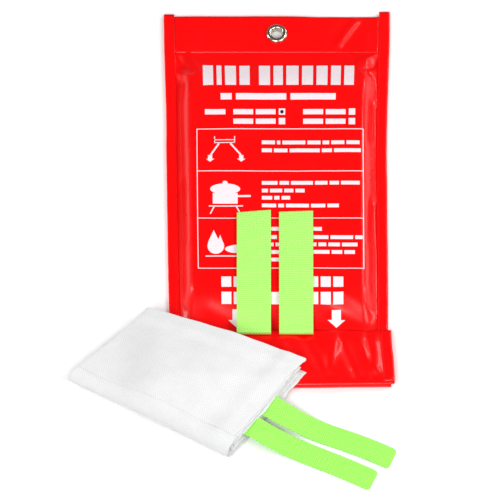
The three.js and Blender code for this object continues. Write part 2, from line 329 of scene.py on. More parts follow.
def nickelMaterial():
    material, tree, surface = newMaterial("nickelPlate", nickelLook["surface"])
    place = node(tree, "ShaderNodeTexCoord")
    scratches = node(tree, "ShaderNodeTexNoise", nickelLook["scratches"])
    rough = node(tree, "ShaderNodeMapRange", nickelLook["gloss"])
    feed(tree, scratches, "Vector", place, "Object")
    feed(tree, rough, "Value", scratches, "Fac")
    feed(tree, surface, "Roughness", rough)
    return material


inkLook = {
    "white": (0.95, 0.84, 0.88),
    "black": (0.01, 0.01, 0.02),
    "thin": 0.86,  # brightness where the ink is thin
    "speckles": 600,
    "roughness": 0.4,
}


def inkMaterial(name, color):
    material, tree, surface = newMaterial(name, {"Roughness": inkLook["roughness"]})
    place = node(tree, "ShaderNodeTexCoord")
    speckle = node(tree, "ShaderNodeTexNoise", {"Scale": inkLook["speckles"]})
    thin = mixedColors(tree, color, [c * inkLook["thin"] for c in color])
    feed(tree, speckle, "Vector", place, "Object")
    feed(tree, thin, mixShare, speckle, "Fac")
    feed(tree, surface, "Base Color", thin, mixResult)
    return material


# Making meshes.


def objectFrom(name, bm, material):
    mesh = bpy.data.meshes.new(name)
    bm.to_mesh(mesh)
    bm.free()
    mesh.materials.append(material)
    for face in mesh.polygons:
        face.use_smooth = True
    made = bpy.data.objects.new(name, mesh)
    bpy.context.scene.collection.objects.link(made)
    return made


def addGrid(bm, wide, long, stepsWide, stepsLong, rule):
    # A flat grid whose points go where the rule puts them, with UVs in millimetres.
    uvs = bm.loops.layers.uv.verify()
    made = bmesh.ops.create_grid(bm, x_segments=stepsWide, y_segments=stepsLong, size=0.5)
    verts = made["verts"]
    faces = {face for vert in verts for face in vert.link_faces}
    for face in faces:
        for loop in face.loops:
            flat = loop.vert.co
            loop[uvs].uv = ((flat.x + 0.5) * wide, (flat.y + 0.5) * long)
    for vert in verts:
        vert.co = rule((vert.co.x + 0.5) * wide, (vert.co.y + 0.5) * long)
    return verts


def thickened(piece, thickness, offset=0.0, rim=0.0):
    # Solidify and a small rounded rim, applied to the mesh.
    wall = piece.modifiers.new("wall", "SOLIDIFY")
    wall.thickness = thickness * mm
    wall.offset = offset
    wall.use_even_offset = True
    if rim:
        edge = piece.modifiers.new("rim", "BEVEL")
        edge.width = rim * mm
        edge.segments = 2
        edge.limit_method = "ANGLE"
        edge.angle_limit = math.radians(50)
    graph = bpy.context.evaluated_depsgraph_get()
    final = bpy.data.meshes.new_from_object(piece.evaluated_get(graph))
    piece.modifiers.clear()
    piece.data = final
    for face in final.polygons:
        face.use_smooth = True
    return piece


def bentSheet(name, flat, steps, rule, material, thickness, rim=0.0, hole=None):
    # A grid that the rule bends, opened round the hole and then given its thickness.
    bm = bmesh.new()
    addGrid(bm, *flat, *steps, rule)
    if hole:
        openedAt(bm, hole)
    bmesh.ops.recalc_face_normals(bm, faces=bm.faces)
    return thickened(objectFrom(name, bm, material), thickness, rim=rim)


def along(path):
    # The path as a rule: a distance along it gives its point.
    points = np.array(path, float)
    steps = np.linalg.norm(np.diff(points, axis=0), axis=1)
    run = np.concatenate([[0], np.cumsum(steps)])

    def at(distance):
        return [float(np.interp(distance, run, points[:, k])) for k in range(points.shape[1])]

    return float(run[-1]), at


def arc(centre, radius, start, end, steps):
    turns = [math.radians(start + (end - start) * i / steps) for i in range(steps + 1)]
    return [(centre[0] + radius * math.cos(t), centre[1] + radius * math.sin(t)) for t in turns]


def straight(start, end, steps):
    return [tuple(mix(a, b, i / steps) for a, b in zip(start, end)) for i in range(steps + 1)]


def finished(piece, body, slot, *nodes):
    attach(piece, body)
    if nodes:
        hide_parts(*nodes)
    return piece


# The pouch.

pouch = {
    "half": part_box("binding_right")[1].x / mm - pouchX,  # half of its width
    "panelHalf": (panelHigh.x - panelLow.x) / 2 / mm,
    "length": (panelHigh.y - panelLow.y) / mm,
    "vinyl": 0.5,
    "gap": 0.3,
    "shoulder": 64.5,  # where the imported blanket's edge starts to slope off
    "sideSlope": 11.0,
    "lowerStart": 42.0,
    "lowerEnd": 79.0,
    "upperStart": 242.0,
    "upperEnd": 285.0,
    "middle": 160.0,
    "tapeSpace": 1.3,
    "swells": (0.55, 46),  # height and width of the loose panel's soft bumps
    "ripples": (0.22, 17),
    "backBumps": (0.12, 30),
    "narrowFrom": 315.0,  # from its top down
    "narrow": {"left": (0.022, 3.2, -0.052), "right": (0.034, 2.6, 0.006)},
    "mouth": (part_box("mouth_outer_ply")[1].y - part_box("mouth_outer_ply")[0].y) / mm,
    "step": 1.6,
    "headerStep": 1.2,
}
pouch["bulge"] = heights("front_panel")[1] - heights("header_band")[0] + 0.3
pouch["frontTop"] = heights("header_band")[0] - pouch["gap"]
pouch["mouthTop"] = heights("mouth_outer_ply")[1]

# Creases: start, end, half width and height, in the pouch's millimetres.
creases = [
    ((-76, 279), (-64, 262), 3.2, -1.7),
    ((-66, 281), (-60, 260), 4.0, 1.1),
    ((-78, 268), (-66, 258), 3.0, 1.2),
    ((-70, 255), (-58, 249), 5.0, -0.8),
    ((61, 273), (78, 283), 2.2, 1.4),
    ((66, 266), (79, 276), 2.4, -1.4),
    ((57, 280), (70, 262), 3.4, -1.0),
    ((70, 258), (76, 240), 3.0, 1.0),
    ((72, 236), (70, 205), 2.6, -0.9),
    ((73, 150), (70, 118), 3.0, -1.0),
    ((-72, 170), (-70, 120), 3.4, -0.8),
    ((-71, 236), (-69, 196), 3.4, 0.7),
    ((74, 200), (72, 160), 3.0, 0.7),
    ((40, 60), (66, 48), 5.0, -0.9),
    ((52, 72), (70, 60), 4.5, 0.8),
    ((-30, 268), (28, 271), 9.0, -0.5),
    ((-52, 60), (-36, 52), 6.0, -0.8),
]
headerCreases = [
    ((58, 309), (44, 286), 2.6, 0.9),
    ((52, 311), (40, 292), 2.2, -0.8),
    ((66, 308), (52, 287), 3.4, -0.7),
    ((-60, 306), (-66, 288), 5.0, 0.5),
    ((-30, 308), (-22, 284), 8.0, -0.4),
    ((20, 306), (30, 286), 6.0, 0.35),
]
mouthCreases = [
    ((20, 38), (36, 6), 4.5, -1.4),
    ((36, 8), (43, 36), 3.6, 1.1),
    ((46, 38), (58, 4), 4.0, -1.5),
    ((60, 34), (70, 10), 3.4, 1.1),
    ((66, 42), (69, 4), 2.6, -1.1),
    ((2, 32), (12, 8), 4.5, 0.9),
    ((-60, 30), (-40, 10), 8.0, 0.8),
]


def folded(x, y, folds):
    # The sum of the creases at a point: each one is a soft ridge or valley along its line.
    total = 0.0
    for (x0, y0), (x1, y1), width, height in folds:
        dx, dy = x1 - x0, y1 - y0
        t = ((x - x0) * dx + (y - y0) * dy) / (dx * dx + dy * dy)
        near = min(max(t, 0.0), 1.0)
        away = math.hypot(x - x0 - near * dx, y - y0 - near * dy) / width
        if away < 3:
            total += height * math.exp(-away * away)
    return total


def bulgeAt(x, y):
    across = smooth((pouch["shoulder"] + pouch["sideSlope"] - abs(x)) / pouch["sideSlope"])
    rise = smooth((y - pouch["lowerStart"]) / (pouch["lowerEnd"] - pouch["lowerStart"]))
    fall = smooth((pouch["upperEnd"] - y) / (pouch["upperEnd"] - pouch["upperStart"]))
    low = pouch["tapeSpace"] + (pouch["bulge"] - pouch["tapeSpace"]) * rise
    return across * (pouch["bulge"] * fall if y > pouch["middle"] else low)


def frontTop(x, y):
    # The front panel's upper face: calm beside the bindings, uneven where it stands off.
    calm = smooth((pouch["panelHalf"] - 3 - abs(x)) / 6)
    soft = bumps(x, y, pouch["swells"], 1) + bumps(x, y, pouch["ripples"], 2)
    loose = smooth(bulgeAt(x, y) / 3)
    crumple = folded(x, y, creases) * smooth((pouch["upperEnd"] + 1 - y) / 6)
    return pouch["frontTop"] + bulgeAt(x, y) + calm * (loose * max(soft, -0.5) + crumple)


def sideOf(x, y):
    # The pouch narrows a little from its header down, more on the left.
    t = min(max(1 - y / pouch["narrowFrom"], 0.0), 1.0)
    early, speed, late = pouch["narrow"]["left" if x < 0 else "right"]
    return x * (1 - early * smooth(t * speed) + late * t * t)


def onPouch(x, y, z):
    return Vector((pouchX + sideOf(x, y), pouchY + y, z)) * mm


def onMouth(x, y, z):
    # The folded-up mouth keeps its full width on the right, and spreads at the fold.
    wide = sideOf(x, y) if x < 0 else x * (1 + mouth["spread"] * smooth((40 - y) / 38))
    return Vector((pouchX + wide, pouchY + y, z)) * mm


eyelet = {"steps": 96, "bore": 4.0, "barrel": 0.7, "rim": 7.8, "opening": 5.4, "roll": 0.2}
mouth = {
    "hem": 6.0,
    "puff": 1.7,  # how far its outer ply stands off
    "lip": 0.3,  # step up to the hem
    "groove": (0.35, 0.9),  # depth and half width of the weld line
    "bumps": (0.35, 16),
    "deepest": -1.3,
    "sag": (0.8, 60),  # unevenness of the lower fold
    "spread": 0.024,
}
header = {
    "bumps": (0.4, 34),
    "edge": (0.5, 55),  # unevenness of its top edge
    "slope": 1.2,  # how much the top edge falls to the right
    "lift": 0.25,
    "seat": 0.22,  # how much its lower edge lies down
}


def openedAt(bm, centre):
    # Cuts away the faces round a point, where the eyelet goes through.
    spot = onPouch(*centre, 0)
    near = [v for v in bm.verts if (v.co - spot).xy.length < eyelet["opening"] * mm]
    bmesh.ops.delete(bm, geom=near, context="VERTS")


def makePanels(vinyl):
    half, length = pouch["panelHalf"], pouch["length"]
    eyeletLow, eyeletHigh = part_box("eyelet_front")
    centre = (0, (eyeletLow.y + eyeletHigh.y) / 2 / mm - pouchY)
    stepsWide = round(2 * half / pouch["step"])

    # Front: down the panel, round the lower fold and up inside the mouth.
    innerLow, innerHigh = heights("mouth_inner_ply")
    sheetZ = (innerLow + innerHigh) / 2
    flatZ = pouch["frontTop"] + pouch["tapeSpace"] - pouch["vinyl"] / 2
    radius = (sheetZ - flatZ) / 2
    path = straight((length, 0), (0, 0), 40)
    path += arc((0, radius), radius, 270, 90, 8)
    path += straight((1, 2 * radius), (pouch["mouth"] - 1, 2 * radius), 6)
    total, at = along(path)

    def frontRule(a, b):
        y, z = at(b)
        x = a - half
        base = frontTop(x, max(y, 0)) - pouch["vinyl"] / 2
        if b > length:
            base = flatZ
            x *= 0.97
        return onPouch(x, y, base + z)

    flat, steps = (2 * half, total), (stepsWide, round(total / pouch["step"]))
    front = bentSheet("pouchFrontSheet", flat, steps, frontRule, vinyl, pouch["vinyl"], hole=centre)
    finished(front, rootBody, "red_vinyl", "front_panel", "mouth_inner_ply", "mouth_inner_fold")

    # Back: down the back, round the outer fold and up over the front as the mouth's outer ply.
    backZ = sum(heights("back_panel")) / 2
    outerZ = sum(heights("mouth_outer_ply")) / 2
    turn = (outerZ - backZ) / 2
    path = straight((length, backZ), (0, backZ), 40)
    path += arc((-0.3, backZ + turn), turn, 270, 90, 14)
    path += straight((0.6, outerZ), (pouch["mouth"], outerZ), 30)
    backTotal, backAt = along(path)
    flapStart = backTotal - pouch["mouth"]

    def backRule(a, b):
        y, z = backAt(b)
        x = a - half
        if b < length:
            return onPouch(x, y, z + bumps(x, y, pouch["backBumps"], 3))
        over = smooth((b - flapStart) / 6)
        calm = smooth((half - 4 - abs(x)) / 8)
        puff = mouth["puff"] * smooth(y / 12) * smooth((pouch["mouth"] - y) / 10)
        pastHem = y - pouch["mouth"] + mouth["hem"]
        depth, wide = mouth["groove"]
        weld = mouth["lip"] * smooth(pastHem / 0.8) - depth * math.exp(-((pastHem / wide) ** 2))
        rough = folded(x, y, mouthCreases) + bumps(x, y, mouth["bumps"], 4)
        z += over * (calm * (max(rough, mouth["deepest"]) + puff) + weld)
        return onMouth(x, y + bumps(x, 0, mouth["sag"], 5) * smooth((12 - y) / 12), z)

    flat, steps = (2 * half, backTotal), (stepsWide, round(backTotal / pouch["step"]))
    back = bentSheet("pouchBackSheet", flat, steps, backRule, vinyl, pouch["vinyl"], hole=centre)
    finished(back, rootBody, "red_vinyl", "back_panel", "mouth_outer_ply", "mouth_outer_fold")

    # Header: a second ply across the top.
    bandLow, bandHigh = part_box("header_band")
    bandHalf = (bandHigh.x - bandLow.x) / 2 / mm
    bandStart, bandEnd = bandLow.y / mm - pouchY, bandHigh.y / mm - pouchY
    bandZ = sum(heights("header_band")) / 2

    def headerRule(a, b):
        x, y = a - bandHalf, b + bandStart
        calm = smooth((bandHalf - 2 - abs(x)) / 8) * smooth((math.hypot(x, y - centre[1]) - 8) / 8)
        free = max(folded(x, y, headerCreases) + bumps(x, y, header["bumps"], 6), -0.2)
        edge = bumps(x, 3, header["edge"], 7) - header["slope"] * smooth((x - 5) / 50)
        z = bandZ - header["seat"] * smooth(1 - b / 3)
        z += calm * (header["lift"] + free) * smooth(b / 6)
        return onPouch(x, y + edge * smooth((b - 15) / 15), z)

    long = bandEnd - bandStart
    flat = (2 * bandHalf, long)
    steps = [round(size / pouch["headerStep"]) for size in flat]
    band = bentSheet("headerBand", flat, steps, headerRule, vinyl, pouch["vinyl"], hole=centre)
    finished(band, rootBody, "red_vinyl", "header_band")
    print("panels made")


binding = {
    "wall": 0.4,
    "corner": 0.9,  # radius of its outer corners
    "step": 2.5,
    "groove": 1.4,  # weld line, in from the inner edge
    "weld": (0.16, 0.5),  # depth and half width of that line
    "rise": 2.2,  # how much the header's right corner stands up
    "bumps": ((0.3, 38), (0.12, 9)),
}


def makeBinding(vinyl, name, cadNode, placeRule, side):
    low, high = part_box(cadNode)
    inner, outer = sorted((abs(low.x / mm - pouchX), abs(high.x / mm - pouchX)))
    bottom, top = low.z / mm + binding["wall"] / 2, high.z / mm - binding["wall"] / 2
    start, end = low.y / mm - pouchY, high.y / mm - pouchY
    corner = min(binding["corner"], (top - bottom) / 2 - 0.05)
    reach = outer - corner - binding["wall"] / 2
    path = straight((inner, top), (reach, top), 8)
    path += arc((reach, top - corner), corner, 80, 0, 4)
    path += arc((reach, bottom + corner), corner, 0, -80, 4)
    path += straight((reach, bottom), (inner, bottom), 8)
    total, at = along(path)

    def rule(a, b):
        x, z = at(a)
        y = start + b
        if side > 0:
            y += binding["rise"] * smooth((y - 285) / 30)
        depth, wide = binding["weld"]
        weld = -depth * math.exp(-(((a - binding["groove"]) / wide) ** 2))
        large, small = binding["bumps"]
        stir = bumps(0, y, large, 8 + side) + bumps(0, y, small, 9)
        return placeRule(side * (x + stir), y, z + weld)

    steps = (34, round((end - start) / binding["step"]))
    strip = bentSheet(name, (total, end - start), steps, rule, vinyl, binding["wall"])
    finished(strip, rootBody, "red_vinyl", cadNode)


def makeBindings(vinyl):
    for side, word in ((-1, "Left"), (1, "Right")):
        makeBinding(vinyl, f"sideBinding{word}", f"binding_{word.lower()}", onPouch, side)
        makeBinding(vinyl, f"mouthBinding{word}", f"mouth_binding_{word.lower()}", onMouth, side)
    print("bindings made")


def spun(name, profile, centre, material):
    # Turns a closed profile of radius and height about the eyelet's own axis.
    bm = bmesh.new()
    verts = [bm.verts.new((r * mm, 0, z * mm)) for r, z in profile]
    edges = [bm.edges.new((a, b)) for a, b in zip(verts, verts[1:] + verts[:1])]
    bmesh.ops.spin(
        bm,
        geom=verts + edges,
        cent=(0, 0, 0),
        axis=(0, 0, 1),
        angle=2 * math.pi,
        steps=eyelet["steps"],
        use_merge=True,
    )
    bmesh.ops.remove_doubles(bm, verts=bm.verts, dist=1e-7)
    bmesh.ops.recalc_face_normals(bm, faces=bm.faces)
    bmesh.ops.translate(bm, verts=bm.verts, vec=centre)
    return objectFrom(name, bm, material)


def makeEyelet(nickel):
    low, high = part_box("eyelet_front")
    centre = Vector(((low.x + high.x) / 2, (low.y + high.y) / 2, 0))
    bore, barrel, rim = eyelet["bore"], eyelet["barrel"], eyelet["rim"]
    top = high.z / mm + 0.7
    base = heights("header_band")[1] + 0.3
    crown = (bore + rim) / 2
    rollFoot = base + eyelet["roll"]
    roll = arc((crown, rollFoot), (rim - bore) / 2, 180, 0, 16)
    flat = (top - rollFoot) / ((rim - bore) / 2)
    profile = [(bore, 0.0), (bore + barrel, 0.0), (bore + barrel, base), (rim, base)]
    profile += [(r, rollFoot + (z - rollFoot) * flat) for r, z in reversed(roll)]
    front = spun("eyeletRim", profile, centre, nickel)
    finished(front, rootBody, "nickel", "eyelet_front")

    washerLow, washerHigh = heights("eyelet_back")
    inner = bore + barrel + 0.3
    profile = [(inner, 0.05), (inner + 0.1, 0), (rim - 0.15, 0), (rim, 0.12)]
    profile += [(rim, washerHigh - 0.05), (rim - 0.1, washerHigh), (inner, washerHigh)]
    back = spun("eyeletWasher", profile, centre, nickel)
    finished(back, rootBody, "nickel", "eyelet_back")
    print("eyelet made")


# The pouch's tapes.

tape = {
    "thickness": 1.0,
    "gap": 0.3,
    "hem": 16.0,
    "overlap": 2.4,  # how much further the ends reach over the mouth
    "step": 1.4,
    "slant": {"left": 0.085, "right": 0.04},  # how much the fold at the top leans
    "follow": 0.7,  # how much of the panel's slope across it a tape follows
    "overMouth": 1.3,  # room over the mouth
    "rim": 0.3,
}


def makePouchTapes(webbing):
    thick, gap = tape["thickness"], tape["gap"]
    for side in ("left", "right"):
        low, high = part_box(f"{side}_tape_end")
        runLow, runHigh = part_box(f"{side}_tape_run")
        centre, wide = (low.x + high.x) / 2 / mm - pouchX, (high.x - low.x) / mm
        bottom = low.y / mm - pouchY - tape["overlap"]
        turn = thick / 2 + gap / 2  # radius of the tape's middle round the top fold
        turnY = runHigh.y / mm - pouchY - turn - thick / 2
        inMouth = runLow.y / mm - pouchY
        mouthZ = (heights("mouth_inner_ply")[1] + heights("mouth_outer_ply")[0]) / 2

        def runZ(y, x=centre):
            return max(frontTop(x, y) + gap + thick / 2, mouthZ)

        def endZ(y, x=centre):
            overRun = runZ(y, x) + thick + gap
            overMouth = pouch["mouthTop"] + gap + thick / 2 + tape["overMouth"]
            hemmed = smooth((bottom + tape["hem"] + 9 - y) / 8)
            return max(overRun, overMouth) + (thick + gap) * hemmed

        def lean(x, y):
            return tape["slant"][side] * (x - centre) * smooth((y - 90) / (turnY - 90))

        def ruleFor(at):
            def rule(a, b):
                y, z = at(b)
                x = centre - wide / 2 + a
                follow = (runZ(min(y, turnY), x) - runZ(min(y, turnY))) * tape["follow"]
                return Vector((pouchX + x, pouchY + y + lean(x, y), z + follow)) * mm

            return rule

        top = runZ(turnY)
        path = [(y, runZ(y)) for y in np.linspace(inMouth, turnY, 90)]
        path += arc((turnY, top + turn), turn, -80, 90, 10)
        total, at = along(path)
        flat, steps = (wide, total), (14, round(total / tape["step"]))
        name, rim = f"{side}TapeRun", tape["rim"]
        run = bentSheet(name, flat, steps, ruleFor(at), webbing, thick, rim=rim)
        finished(run, rootBody, "lime_webbing", f"{side}_tape_run")

        # The free end, with its hem turned under.
        start = top + 2 * turn
        fold = (thick + gap) / 2
        path = []
        for y in np.linspace(turnY, bottom + fold + thick / 2, 80):
            path.append((y, mix(endZ(y), start, smooth((y - turnY + 10) / 10))))
        endY, endHeight = path[-1]
        path += arc((endY, endHeight - fold), fold, 100, 260, 8)
        hemHeight = endHeight - 2 * fold
        path += straight((endY, hemHeight), (bottom + tape["hem"], hemHeight), 8)
        endTotal, endAt = along(path)
        flat, steps = (wide, endTotal), (14, round(endTotal / tape["step"]))
        name = f"{side}TapeEnd"
        end = bentSheet(name, flat, steps, ruleFor(endAt), webbing, thick, rim=rim)
        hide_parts(f"{side}_tape_end", f"{side}_tape_hem")
        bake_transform(end)
    print("pouch tapes made")


# The print: plain blocks and bars in place of words.

ink = {
    "lift": 0.1,  # over the vinyl
    "film": 0.12,
    "step": 2.4,
}


def addBar(bm, x0, y0, x1, y1):
    # A printed rectangle, fine enough to follow the panel.
    wide, long = x1 - x0, y1 - y0
    steps = [max(1, round(size / ink["step"])) for size in (wide, long)]
    addGrid(bm, wide, long, *steps, lambda a, b: Vector((x0 + a, y0 + b, 0)))


def addOutline(bm, x0, y0, x1, y1, line):
    addBar(bm, x0, y0, x1, y0 + line)
    addBar(bm, x0, y1 - line, x1, y1)
    addBar(bm, x0, y0, x0 + line, y1)
    addBar(bm, x1 - line, y0, x1, y1)


def addPoint(bm, x, y, half, tall):
    # A downward triangle.
    made = bmesh.ops.create_circle(bm, cap_ends=True, radius=1, segments=3)
    corners = [(-half, tall), (half, tall), (0, 0)]
    for vert, (dx, dy) in zip(made["verts"], corners):
        vert.co = (x + dx, y + dy, 0)


def addStroke(bm, start, end, line):
    # A straight strip from one point to another.
    way = Vector(end) - Vector(start)
    over = way.orthogonal().normalized() * line / 2
    steps = max(1, round(way.length / ink["step"]))

    def rule(a, b):
        x, y = Vector(start) + way * b / way.length + over * (2 * a / line - 1)
        return Vector((x, y, 0))

    addGrid(bm, line, way.length, 1, steps, rule)


def addArrow(bm, x, y, half, tall):
    # A downward arrow with its tip at x, y.
    addPoint(bm, x, y, half, tall * 0.45)
    addBar(bm, x - half * 0.52, y + tall * 0.45, x + half * 0.52, y + tall)


def addDisc(bm, x, y, radiusX, radiusY):
    made = bmesh.ops.create_circle(bm, cap_ends=True, radius=1, segments=20)
    for vert in made["verts"]:
        vert.co = (x + vert.co.x * radiusX, y + vert.co.y * radiusY, 0)


def addWords(bm, x0, x1, y0, y1, lengths, space):
    # Bars as long as words, filling the line from x0 to x1.
    free = (x1 - x0) - space * (len(lengths) - 1)
    x = x0
    for length in lengths:
        wide = free * length / sum(lengths)
        addBar(bm, x, y0, x + wide, y1)
        x += wide + space


def printed(name, bm, material, over):
    # The flat drawing laid on the panel, over the other ink where it says so.
    for vert in bm.verts:
        x, y = vert.co.x, vert.co.y
        vert.co = onPouch(x, y, frontTop(x, y) + ink["lift"] + over)
    for face in bm.faces:
        face.normal_update()
        if face.normal.z < 0:
            face.normal_flip()
    film = thickened(objectFrom(name, bm, material), ink["film"], offset=1)
    for face in film.data.polygons:
        face.use_smooth = False
    return finished(film, rootBody, "red_vinyl")


heading = {
    "left": -55.5,
    "right": 58.0,
    "bottom": 248.0,
    "top": 269.0,
    "words": ((5, 2.4, 5.4, 5), (5.4, 4.6, 6, 5.4, 5.4, 4.8, 4.8)),  # widths of the blocks
    "space": 2.6,
    "gap": 7.0,
}
sizeList = {
    "title": (-42.5, 44.5, 235, 240.4),
    "titleWords": (2.2, 10, 9),
    "lines": (222.2, 214),  # lower edges
    "tall": 4.4,
    "label": (-54.5, -39),  # before the first line only
    "columns": ((-33, 1.4), (20, 54.6)),  # where the words and the tick boxes start
    "box": (4.9, 5),
    "dot": (3.85, 224.3, 1.3, 1.5),
}
infoTable = {
    "left": -61.0,
    "right": 66.0,
    "top": 210.0,
    "bottom": 91.0,
    "dividers": (173.5, 133.4),
    "line": 0.6,
}
# Lines of small words: right end, height and word lengths.
smallLines = [
    (63, 196.6, (4, 1, 7, 4, 2, 4, 4)),
    (64, 189.9, (3, 4, 9, 3, 8)),
    (63, 162.2, (5, 3, 7, 4, 3, 6)),
    (21, 155.6, (2, 4, 3, 3)),
    (10, 149.4, (6, 3, 5)),
    (47, 142.8, (5, 2, 8, 5, 4)),
    (34, 123, (7, 4)),
    (65, 116, (4, 2, 5, 5, 6, 2)),
    (61, 109.8, (3, 6, 4, 2, 3, 4)),
    (59, 103.4, (7, 4, 7, 3, 3)),
    (14, 97, (5, 2)),
]
lineStyle = {"left": -11.5, "tall": 3.1, "space": 1.6}
# Own simple signs: a bar with two straps pulled down, a covered pan, a flame beside a sheet.
signs = [
    (addOutline, -47.6, 197.6, -31.8, 200.6, 0.6),
    (addBar, -47.6, 200.6, -47, 203.4),
    (addBar, -32.4, 200.6, -31.8, 203.4),
    (addStroke, (-44, 197.2), (-50.4, 187.4), 1.3),
    (addStroke, (-35.4, 197.2), (-27.4, 187.4), 1.3),
    (addArrow, -50.8, 181.6, 3.1, 5.6),
    (addArrow, -27.1, 181.6, 3.1, 5.6),
    (addBar, -49, 146, -30, 155),
    (addBar, -30, 151.6, -20, 153.2),
    (addDisc, -39.5, 158.5, 11.5, 4.6),
    (addDisc, -39.5, 163.6, 2, 1.8),
    (addStroke, (-52, 144), (-26, 144), 0.9),
    (addStroke, (-48, 143.6), (-51, 137.4), 0.9),
    (addStroke, (-31, 143.6), (-28, 137.4), 0.9),
    (addDisc, -47, 110, 6.4, 6.6),
    (addPoint, -48.5, 123.5, 4.4, -10),
    (addPoint, -43.6, 119.5, 3, -9),
    (addDisc, -29, 107.5, 11, 3.6),
    (addStroke, (-55, 101.6), (-18, 101.6), 0.9),
]
call = {
    "lines": ((75.6, (4, 5)), (63.2, (2, 7))),  # lower edge and letters in each word
    "left": -43,
    "width": 95.0,
    "tall": 8.6,
    "block": 0.8,  # of a letter's room
    "arrows": ((44.8, 46.6), (-31.2, 46.6)),
    "arrowSize": (6.6, 13),
}


def addHeading(bm):
    words = heading["words"]
    blocks = sum(len(word) for word in words)
    spaces = heading["space"] * (blocks - len(words)) + heading["gap"] * (len(words) - 1)
    unit = (heading["right"] - heading["left"] - spaces) / sum(map(sum, words))
    x = heading["left"]
    for word in words:
        for width in word:
            addBar(bm, x, heading["bottom"], x + unit * width, heading["top"])
            x += unit * width + heading["space"]
        x += heading["gap"] - heading["space"]


def addSizes(bm):
    addWords(bm, *sizeList["title"], sizeList["titleWords"], 3.2)
    tall = sizeList["tall"]
    boxWide, boxTop = sizeList["box"]
    labelLeft, labelRight = sizeList["label"]
    addBar(bm, labelLeft, sizeList["lines"][0], labelRight, sizeList["lines"][0] + tall)
    for y in sizeList["lines"]:
        for left, boxX in sizeList["columns"]:
            addWords(bm, left, boxX - 2.4, y, y + tall, (4, 4), 2)
            addBar(bm, boxX, y - 0.4, boxX + boxWide, y + boxTop)


def addDot(bm):
    addDisc(bm, *sizeList["dot"])


def addTable(bm):
    line = infoTable["line"]
    left, right = infoTable["left"], infoTable["right"]
    addOutline(bm, left, infoTable["bottom"], right, infoTable["top"], line)
    for y in infoTable["dividers"]:
        addBar(bm, left + line, y, right - line, y + line)


def addLines(bm):
    for right, y, lengths in smallLines:
        top = y + lineStyle["tall"]
        addWords(bm, lineStyle["left"], right, y, top, lengths, lineStyle["space"])


def addSigns(bm):
    for add, *values in signs:
        add(bm, *values)


def addCall(bm):
    for y, lengths in call["lines"]:
        pitch = call["width"] / (sum(lengths) + 1)
        x = call["left"]
        for count in lengths:
            for _ in range(count):
                addBar(bm, x, y, x + pitch * call["block"], y + call["tall"])
                x += pitch
            x += pitch
    for x, y in call["arrows"]:
        addArrow(bm, x, y, *call["arrowSize"])


def makePrint(white, black):
    parts = (
        ("printHeading", addHeading, white, 0.0),
        ("printSizes", addSizes, white, 0.0),
        ("printDot", addDot, black, 1.5 * ink["film"]),
        ("printTable", addTable, white, 0.0),
        ("printLines", addLines, white, 0.0),
        ("printSigns", addSigns, white, 0.0),
        ("printCall", addCall, white, 0.0),
    )
    for name, add, color, over in parts:
        bm = bmesh.new()
        add(bm)
        printed(name, bm, color, over)
    print("print made")


# The blanket that was taken out, folded like a book.

blanket = {
    "centre": (-67.0, -1.0),  # from the middle of the pouch's lower fold
    "turn": math.radians(-25),
    "skew": math.tan(math.radians(14)),
    "half": 62.0,
    "back": 42.0,
    "front": -36.0,  # where the top starts to turn down into the round fold
    "corners": {  # of the top, from the middle of the pouch's lower fold
        "backLeft": Vector((-94.0, 55.0)),
        "frontLeft": Vector((-148.5, 5.5)),
        "frontRight": Vector((-35.5, -57.5)),
        "backRight": Vector((18.8, 7.8)),
    },
    "ply": 1.5,
    "pitch": 2.05,
    "stack": 21.6,
    "nested": 3,
    "stagger": 1.6,
    "rise": 7.6,  # lift where it lies on the pouch
    "drape": 36.0,
    "taper": 0.62,  # how thin the far left end is pressed
    "taperLength": 95.0,
    "leaf": 0.66,  # thickness of one visible ply
    "leafGap": 0.2,
    "leafRim": 0.2,
    "reach": (2.4, 1.5, 0.2, 1.9, 0.9),  # right ends, from the outer ply to the core
    "bend": 12.0,  # length of a line drawn square to the round fold
    "corner": 2.2,  # how far the cover's back right corner stands out
    "step": 2.2,
    "swells": ((1.5, 42), (0.5, 16)),  # height and width
    "ridgesAlong": ((33, 3.5, 0.7), (25, 5, -0.7)),  # place, half width and height
    "ridgesAcross": ((52, 5, 0.9), (40, 7, -0.8)),
    "ragged": ((2.0, 15), (0.6, 4)),
    "openEdge": (0.8, 22),
    "flutter": (0.25, 20),
}
blanket["spine"] = -blanket["back"] + blanket["stack"] / 2
blanket["middle"] = blanket["stack"] / 2


def liftAt(x, y):
    inX = smooth((x + pouch["half"] + blanket["drape"]) / blanket["drape"])
    inY = smooth((y + pouch["mouthTop"] / 2 + blanket["drape"]) / blanket["drape"])
    return blanket["rise"] * inX * inY


def tableAt(x, y):
    # The blanket's own x and y as the pouch's.
    cos, sin = math.cos(blanket["turn"]), math.sin(blanket["turn"])
    centre = blanket["centre"]
    return centre[0] + x * cos - y * sin, centre[1] + x * sin + y * cos


def pressed(x):
    return mix(blanket["taper"], 1, smooth((x + blanket["half"] + 6) / blanket["taperLength"]))


def ridges(at, kinds):
    return sum(height * math.exp(-(((at - place) / wide) ** 2)) for place, wide, height in kinds)


def reliefAt(x, y):
    # Soft swells and the ridges near the back and right edges.
    large, small = blanket["swells"]
    swell = bumps(x, y, large, 31) + bumps(x, y, small, 32)
    back = ridges(y, blanket["ridgesAlong"])
    right = ridges(x, blanket["ridgesAcross"])
    return (swell + back + right) / blanket["stack"]


